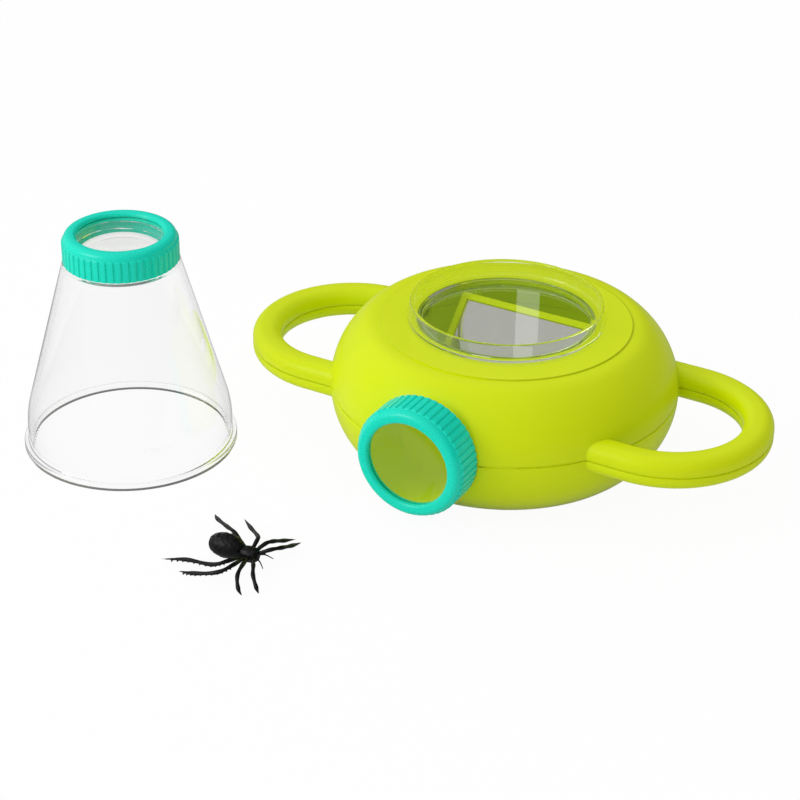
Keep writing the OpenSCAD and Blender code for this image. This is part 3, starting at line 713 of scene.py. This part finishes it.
def dressed_shell(node, edge_z, side):
    """Copy of a shell whose edge at the seam is rounded, with the eyepiece's boss trimmed flush
    with the flank. Side is 1 above the seam and -1 below it."""
    shell_mesh = nodes[node].data
    shell = scratch_object([v.co / MM for v in shell_mesh.vertices],
                           [tuple(f.vertices) for f in shell_mesh.polygons])
    heights = [TRIM_LOW_Z + TRIM_STEP * i for i in range(TRIM_STEPS)]
    flank = scratch_object(*turned([(0, heights[0])]
                                   + [(skin_radius(z) + TRIM_PROUD, z) for z in heights]
                                   + [(0, heights[-1])], even_angles(240)))
    boss_points, boss_faces = turned([(0, 0), (BOSS_CUT_R, 0), (BOSS_CUT_R, BOSS_CUT_LEN),
                                      (0, BOSS_CUT_LEN)], even_angles(96))
    boss = scratch_object([along_sight(BOSS_CUT_Y) @ Vector(p) for p in boss_points], boss_faces)
    for step in (flank, boss):
        clean = bmesh.new()
        clean.from_mesh(step.data)
        bmesh.ops.remove_doubles(clean, verts=clean.verts, dist=CUT_MERGE * MM)
        bmesh.ops.recalc_face_normals(clean, faces=clean.faces)
        clean.to_mesh(step.data)
        clean.free()
    cut_away(boss, flank)
    cut_away(shell, boss)
    form = bmesh.new()
    form.from_mesh(shell.data)
    bpy.data.objects.remove(shell)
    stations = [(SEAM_ROUND * (1 - math.sin(math.radians(a))),
                 SEAM * (1 - math.cos(math.radians(a)))) for a in (0, 30, 60, 90)]
    for rise, _ in stations[:-1]:
        bmesh.ops.bisect_plane(form, geom=form.verts[:] + form.edges[:] + form.faces[:],
                               dist=CUT_MERGE * MM, plane_co=(0, 0, (edge_z + side * rise) * MM),
                               plane_no=(0, 0, 1))
    for v in form.verts:
        p = v.co / MM
        for rise, inset in stations:
            if abs(p.z - edge_z - side * rise) < NEAR:
                off, way = out_of_seam(p)
                if abs(off) < ON_OUTLINE:
                    v.co = (p - way * inset) * MM
    points = [v.co / MM for v in form.verts]
    form.verts.index_update()
    faces = [tuple(v.index for v in f.verts) for f in form.faces]
    form.free()
    return points, faces


def flank_round_barrel(from_angle, to_angle):
    """Sheet of the flank that closes up to the barrel behind the eyepiece's ring, and sinks into
    the skin round about."""
    points = []
    radii = [THREAD_R - SHEET_OVERLAP + SHEET_RING_STEP * i for i in range(SHEET_RINGS)]
    for i in range(SHEET_STEPS + 1):
        angle = math.radians(from_angle + (to_angle - from_angle) * i / SHEET_STEPS)
        for r in radii:
            x = r * math.cos(angle)
            z = min(max(SIGHT_Z + r * math.sin(angle), SHEET_LOW_Z), CEILING_Z)
            proud = SHEET_PROUD - SHEET_SINK * ease(SHEET_SINK_FROM_R, radii[-1], r)
            points.append((x, max(-math.sqrt((skin_radius(z) + proud) ** 2 - x ** 2),
                                  SEAT_INSET - BODY_R), z))
    faces = []
    for i in range(SHEET_STEPS):
        for j in range(len(radii) - 1):
            k = i * len(radii) + j
            faces.append((k, k + len(radii), k + len(radii) + 1, k + 1))
    return points, faces


def joined(*parts):
    points = []
    faces = []
    for more_points, more_faces in parts:
        faces += [tuple(len(points) + i for i in face) for face in more_faces]
        points += list(more_points)
    return points, faces


piece("upper_shell", *joined(dressed_shell("upper_shell", SPLIT_Z + SEAM, 1),
                             flank_round_barrel(*UPPER_SHEET_ANGLES)), LIME, "lime_upper")
piece("lower_shell", *joined(dressed_shell("lower_shell", SPLIT_Z, -1),
                             flank_round_barrel(*LOWER_SHEET_ANGLES)), LIME, "lime_lower")

LENS_IN_RING = RING_LIP + SEAT_GAP + LENS_EDGE / 2
piece("eyepiece_ring", *ribbed_ring(RING_BACK_Y - RING_FRONT_Y), TEAL, "teal_ring",
      along_sight(RING_BACK_Y))
piece("jar_cap", *ribbed_ring(CAP_TOP_Z - CAP_Z), TEAL, "teal_ring", on_jar(CAP_Z))
piece("eyepiece_lens", *domed_lens(LENS_CROWN), LENS_CLEAR, "clear_lens",
      along_sight(RING_FRONT_Y + LENS_IN_RING))
piece("jar_lens", *domed_lens(CAP_LENS_CROWN), LENS_CLEAR, "clear_lens",
      on_jar(CAP_TOP_Z - LENS_IN_RING))
piece("viewing_dish", *clear_dish(), DISH_CLEAR, "clear_dish")
piece("jar_body", *conical_jar(), JAR_CLEAR, "clear_jar", on_jar(0))
piece("eyepiece_barrel", *threaded_barrel(), LIME_INSIDE_GLOWING, "lime_barrel",
      along_sight(BARREL_BACK_Y))


# Joints of the legs and feelers, from root to tip, as shares of the leg's reach
LEFT_LEG_SHARES = (
    ((-0.03, 0.03, 0.11), (-0.27, 0.18, 0.21), (-0.45, 0.32, 0.17), (-0.70, 0.54, 0.08),
     (-0.83, 0.70, 0.02)),
    ((-0.01, 0.03, 0.11), (0.01, 0.17, 0.21), (-0.04, 0.28, 0.18), (-0.27, 0.53, 0.09),
     (-0.48, 0.76, 0.02)),
    ((0.02, 0.03, 0.11), (0.12, 0.15, 0.20), (0.16, 0.26, 0.18), (0.20, 0.45, 0.09),
     (0.26, 0.63, 0.02)),
    ((0.05, 0.02, 0.11), (0.22, 0.08, 0.19), (0.30, 0.20, 0.17), (0.33, 0.40, 0.09),
     (0.35, 0.60, 0.02)))
BRISTLED_LEG_SHARES = (
    ((-0.03, -0.03, 0.11), (-0.08, -0.34, 0.21), (-0.24, -0.43, 0.17), (-0.60, -0.36, 0.09),
     (-0.92, -0.38, 0.02)),
    ((-0.01, -0.03, 0.11), (0.01, -0.38, 0.21), (-0.11, -0.54, 0.17), (-0.40, -0.55, 0.08),
     (-0.63, -0.51, 0.02)))
RIGHT_LEG_SHARES = (
    ((0.02, -0.03, 0.11), (0.10, -0.34, 0.21), (0.12, -0.50, 0.17), (0.18, -0.60, 0.08),
     (0.25, -0.64, 0.02)),
    ((0.05, -0.02, 0.11), (0.20, -0.28, 0.20), (0.27, -0.42, 0.17), (0.35, -0.50, 0.08),
     (0.40, -0.53, 0.02)))
FEELER_SHARES = (
    ((0.05, 0.02, 0.11), (0.16, 0.05, 0.13), (0.26, 0.08, 0.08)),
    ((0.05, -0.02, 0.11), (0.17, -0.09, 0.13), (0.25, -0.15, 0.08)))


def smooth_path(shares, steps):
    """Points on a smooth curve through the joints of a limb."""
    joints = [LEG_REACH * Vector(p) for p in shares]
    ends = [2 * joints[0] - joints[1]] + joints + [2 * joints[-1] - joints[-2]]
    path = []
    for a, b, c, d in zip(ends, ends[1:], ends[2:], ends[3:]):
        for i in range(steps):
            t = i / steps
            path.append(0.5 * (2 * b + (c - a) * t + (2 * a - 5 * b + 4 * c - d) * t ** 2
                               + (3 * b - a - 3 * c + d) * t ** 3))
    return path + [joints[-1]]


def add_tube(shell, path, radius_at, sides=10):
    """Adds a closed limb along a path; radius_at takes the share of the way along it."""
    rings = []
    last = len(path) - 1
    for i, p in enumerate(path):
        way = (path[min(i + 1, last)] - path[max(i - 1, 0)]).normalized()
        across = way.cross(Vector((0, 0, 1))).normalized()
        up = across.cross(way)
        r = radius_at(i / last)
        rings.append([shell.verts.new(p + r * (math.cos(a) * across + math.sin(a) * up))
                      for a in even_angles(sides)])
    for ring, following in zip(rings, rings[1:]):
        for k in range(sides):
            shell.faces.new((ring[k], ring[(k + 1) % sides], following[(k + 1) % sides],
                             following[k]))
    shell.faces.new(rings[0][::-1])
    shell.faces.new(rings[-1])


def add_pod(shell, centre, length, r, slimness):
    """Adds a rounded body along X, whose ends are slimmer where slimness is large."""
    path = [centre + Vector((-length / 2 * math.cos(math.pi * i / 24), 0, 0)) for i in range(1, 24)]
    add_tube(shell, path, lambda t: r * math.sin(math.pi * (1 + 22 * t) / 24) ** slimness, 28)


def leg_radius(t):
    """Even thickness with a faint swelling at the joints, and a pointed tip."""
    swelling = LEG_SWELLING * math.cos(8 * math.pi * t)
    return (LEG_R + swelling) * math.sqrt(max(1 - ease(LEG_POINT_FROM, 1.0, t), LEG_POINT_LEAST))


def add_bristles(shell, path):
    """Adds the saw of short bristles under a long leg."""
    for i in range(len(path) // 3, len(path) - 3, 2):
        root = path[i]
        way = (path[i + 1] - path[i - 1]).normalized()
        down = Vector((way.y, -way.x, 0)).normalized()
        down = (down if down.y < 0 else -down) + Vector((0, 0, -BRISTLE_DROOP))
        tip = root + down.normalized() * (LEG_R + BRISTLE_LEN) - BRISTLE_LEAN * way
        add_tube(shell, [root, root.lerp(tip, BRISTLE_MIDDLE), tip],
                 lambda t: BRISTLE_TAPER * (1 - t) + BRISTLE_TIP_R, 6)


def spider():
    """Moulded spider: bumpy abdomen and head, eight legs, two of them bristled, and two feelers."""
    shell = bmesh.new()
    abdomen = Vector((2 * LEG_R - (HEAD_LEN + ABDOMEN_LEN) / 2, 0, ABDOMEN_R + LEG_R / 2))
    head = Vector((0, 0, HEAD_R + LEG_R))
    add_pod(shell, abdomen, ABDOMEN_LEN, ABDOMEN_R - BELLY_KNOB_ROOM, BELLY_SLIMNESS)
    add_pod(shell, head, HEAD_LEN, HEAD_R - HEAD_KNOB_ROOM, HEAD_SLIMNESS)
    for side in (-1, 1):
        ahead, aside, above = EYE_AT
        add_pod(shell, head + Vector((ahead, aside * side, above)), EYE_LEN, EYE_R, EYE_SLIMNESS)
    for shares in LEFT_LEG_SHARES + BRISTLED_LEG_SHARES + RIGHT_LEG_SHARES:
        add_tube(shell, smooth_path(shares, 9), leg_radius)
    for shares in BRISTLED_LEG_SHARES:
        add_bristles(shell, smooth_path(shares, 9))
    for shares in FEELER_SHARES:
        add_tube(shell, smooth_path(shares, 6), lambda t: FEELER_R - FEELER_TAPER * t, 8)
    raw = bpy.data.meshes.new("spider_parts")
    shell.to_mesh(raw)
    shell.free()
    parts = bpy.data.objects.new("spider_parts", raw)
    bpy.context.scene.collection.objects.link(parts)
    remesh = parts.modifiers.new("one_skin", "REMESH")
    remesh.mode = "VOXEL"
    remesh.voxel_size = SKIN_VOXEL
    skin = bpy.data.meshes.new_from_object(
        parts.evaluated_get(bpy.context.evaluated_depsgraph_get()))
    bpy.data.objects.remove(parts)
    points = []
    for v in skin.vertices:
        on_head = 1 - ease(*HEAD_KNOB_FADE, (v.co - head).length)
        from_belly = (v.co - abdomen) * Vector((1 / ABDOMEN_LEN, 0.5 / ABDOMEN_R, 0.5 / ABDOMEN_R))
        on_belly = 1 - ease(*BELLY_KNOB_FADE, from_belly.length * 2)
        knob = 0.5 + 0.5 * noise.noise(v.co / KNOB_SIZE)
        points.append(v.co + v.normal * (BELLY_KNOB * knob * on_belly + HEAD_KNOB * knob * on_head))
    faces = [tuple(f.vertices) for f in skin.polygons]
    return points, faces


piece("toy_spider", *spider(), BLACK, "black_spider",
      Matrix.Translation(SPIDER_AT) @ Matrix.Rotation(SPIDER_TURN, 4, "Z"), sharp=60)


def studio():
    """White room to the eye. Gloss, and clear walls that look up, show it bright on the key lamp's
    side only, and its soft light comes most from above and from the left."""
    room = bpy.data.worlds.new("studio")
    bpy.context.scene.world = room
    room.use_nodes = True
    tree = room.node_tree
    tree.nodes.clear()
    path = add_node(tree, "LightPath").outputs
    ahead = add_node(tree, "TexCoord").outputs["Generated"]
    height = add_node(tree, "SeparateXYZ", {0: ahead}).outputs["Z"]
    level_view = add_node(tree, "MapRange", {"Value": height, "From Min": 0.1, "From Max": 0.3,
                                             "To Min": 1.0, "To Max": 0.0})
    clear = add_node(tree, "Math", {0: path["Is Transmission Ray"], 1: level_view.outputs[0]},
                     operation="MULTIPLY")
    eye = add_node(tree, "Math", {0: path["Is Camera Ray"], 1: clear.outputs[0]},
                   operation="MAXIMUM")
    above = add_node(tree, "VectorMath", {0: ahead, 1: SOFT_WAY}, operation="DOT_PRODUCT")
    soft = add_node(tree, "MapRange", {"Value": above.outputs["Value"], "From Min": -1.0,
                                       "To Min": 0.12, "To Max": 1.18})
    facing = add_node(tree, "VectorMath", {0: ahead, 1: KEY_WAY}, operation="DOT_PRODUCT")
    shine = add_node(tree, "MapRange", {"Value": facing.outputs["Value"], "From Min": -0.2,
                                        "From Max": 0.9, "To Min": 0.03, "To Max": 0.66})
    bent = add_node(tree, "Math", {0: path["Is Glossy Ray"], 1: path["Is Transmission Ray"]},
                    operation="MAXIMUM")
    level = add_node(tree, "Mix", {0: bent.outputs[0], 2: soft.outputs[0], 3: shine.outputs[0]})
    level = add_node(tree, "Mix", {0: eye.outputs[0], 2: level.outputs[0], 3: 1.0})
    light = add_node(tree, "Background", {"Color": linear("#FFFFFF"), "Strength": level.outputs[0]})
    add_node(tree, "OutputWorld", {"Surface": light.outputs[0]})


def table_top():
    """Pale table: white to the eye, with a soft share of the shadows kept, and darker in gloss.
    What it throws back onto matt surfaces comes from its own matt, nearly white top alone."""
    m, tree = new_material("white_table")
    path = add_node(tree, "LightPath").outputs
    eye = add_node(tree, "Math", {0: path["Is Camera Ray"], 1: path["Is Transmission Ray"]},
                   operation="MAXIMUM")
    seen = add_node(tree, "Math", {0: eye.outputs[0], 1: path["Is Glossy Ray"]},
                    operation="MAXIMUM")
    share = add_node(tree, "Math", {0: seen.outputs[0], 1: 0.95}, operation="MULTIPLY")
    level = add_node(tree, "Mix", {0: eye.outputs[0], 2: 0.35, 3: 1.0})
    matt = add_node(tree, "BsdfDiffuse", {"Color": linear("#F2F2F0")})
    white = add_node(tree, "Emission", {"Color": linear("#FFFFFF"), "Strength": level.outputs[0]})
    both = add_node(tree, "MixShader", {0: share.outputs[0], 1: matt.outputs[0],
                                        2: white.outputs[0]})
    add_node(tree, "OutputMaterial", {"Surface": both.outputs[0]})
    mesh = bpy.data.meshes.new("table_top")
    corners = [(x * TABLE_REACH, y * TABLE_REACH, 0)
               for x, y in ((-1, -1), (1, -1), (1, 1), (-1, 1))]
    mesh.from_pydata(corners, [], [(0, 1, 2, 3)])
    mesh.materials.append(m)
    table = bpy.data.objects.new("table_top", mesh)
    bpy.context.scene.collection.objects.link(table)
    table.location.z = -TABLE_DROP * MM


def soft_box(name, way, width, length, watts):
    """Area lamp that looks at the housing from a direction. Gloss shows it, but neither the eye nor
    a clear wall does."""
    light = bpy.data.lights.new(name, "AREA")
    light.shape = "RECTANGLE"
    light.size = width
    light.size_y = length
    light.energy = watts
    lamp = bpy.data.objects.new(name, light)
    lamp.location = way * LAMP_DISTANCE + Vector((0, 0, LAMP_AIM_Z))
    lamp.rotation_euler = way.to_track_quat("Z", "Y").to_euler()
    lamp.visible_camera = False
    lamp.visible_transmission = False
    bpy.context.scene.collection.objects.link(lamp)


def camera():
    """Stands where the photograph was taken from, with its slight roll."""
    data = bpy.data.cameras.new("camera")
    data.sensor_width = 36
    data.lens = 99
    data.clip_start = 0.01
    side = CAMERA_AHEAD.cross(Vector((0, 0, 1))).normalized()
    up = side.cross(CAMERA_AHEAD)
    right = math.cos(CAMERA_ROLL) * side + math.sin(CAMERA_ROLL) * up
    top = right.cross(CAMERA_AHEAD)
    cam = bpy.data.objects.new("camera", data)
    place = Matrix((right, top, -CAMERA_AHEAD)).transposed().to_4x4()
    place.translation = CAMERA_AT * MM
    cam.matrix_world = place
    bpy.context.scene.collection.objects.link(cam)
    bpy.context.scene.camera = cam


studio()
table_top()
camera()
soft_box("key", KEY_WAY, width=0.55, length=0.55, watts=3.8)
soft_box("strip_behind", STRIP_WAY, width=0.024, length=0.3, watts=0.026)

bpy.context.scene.view_settings.view_transform = "Standard"
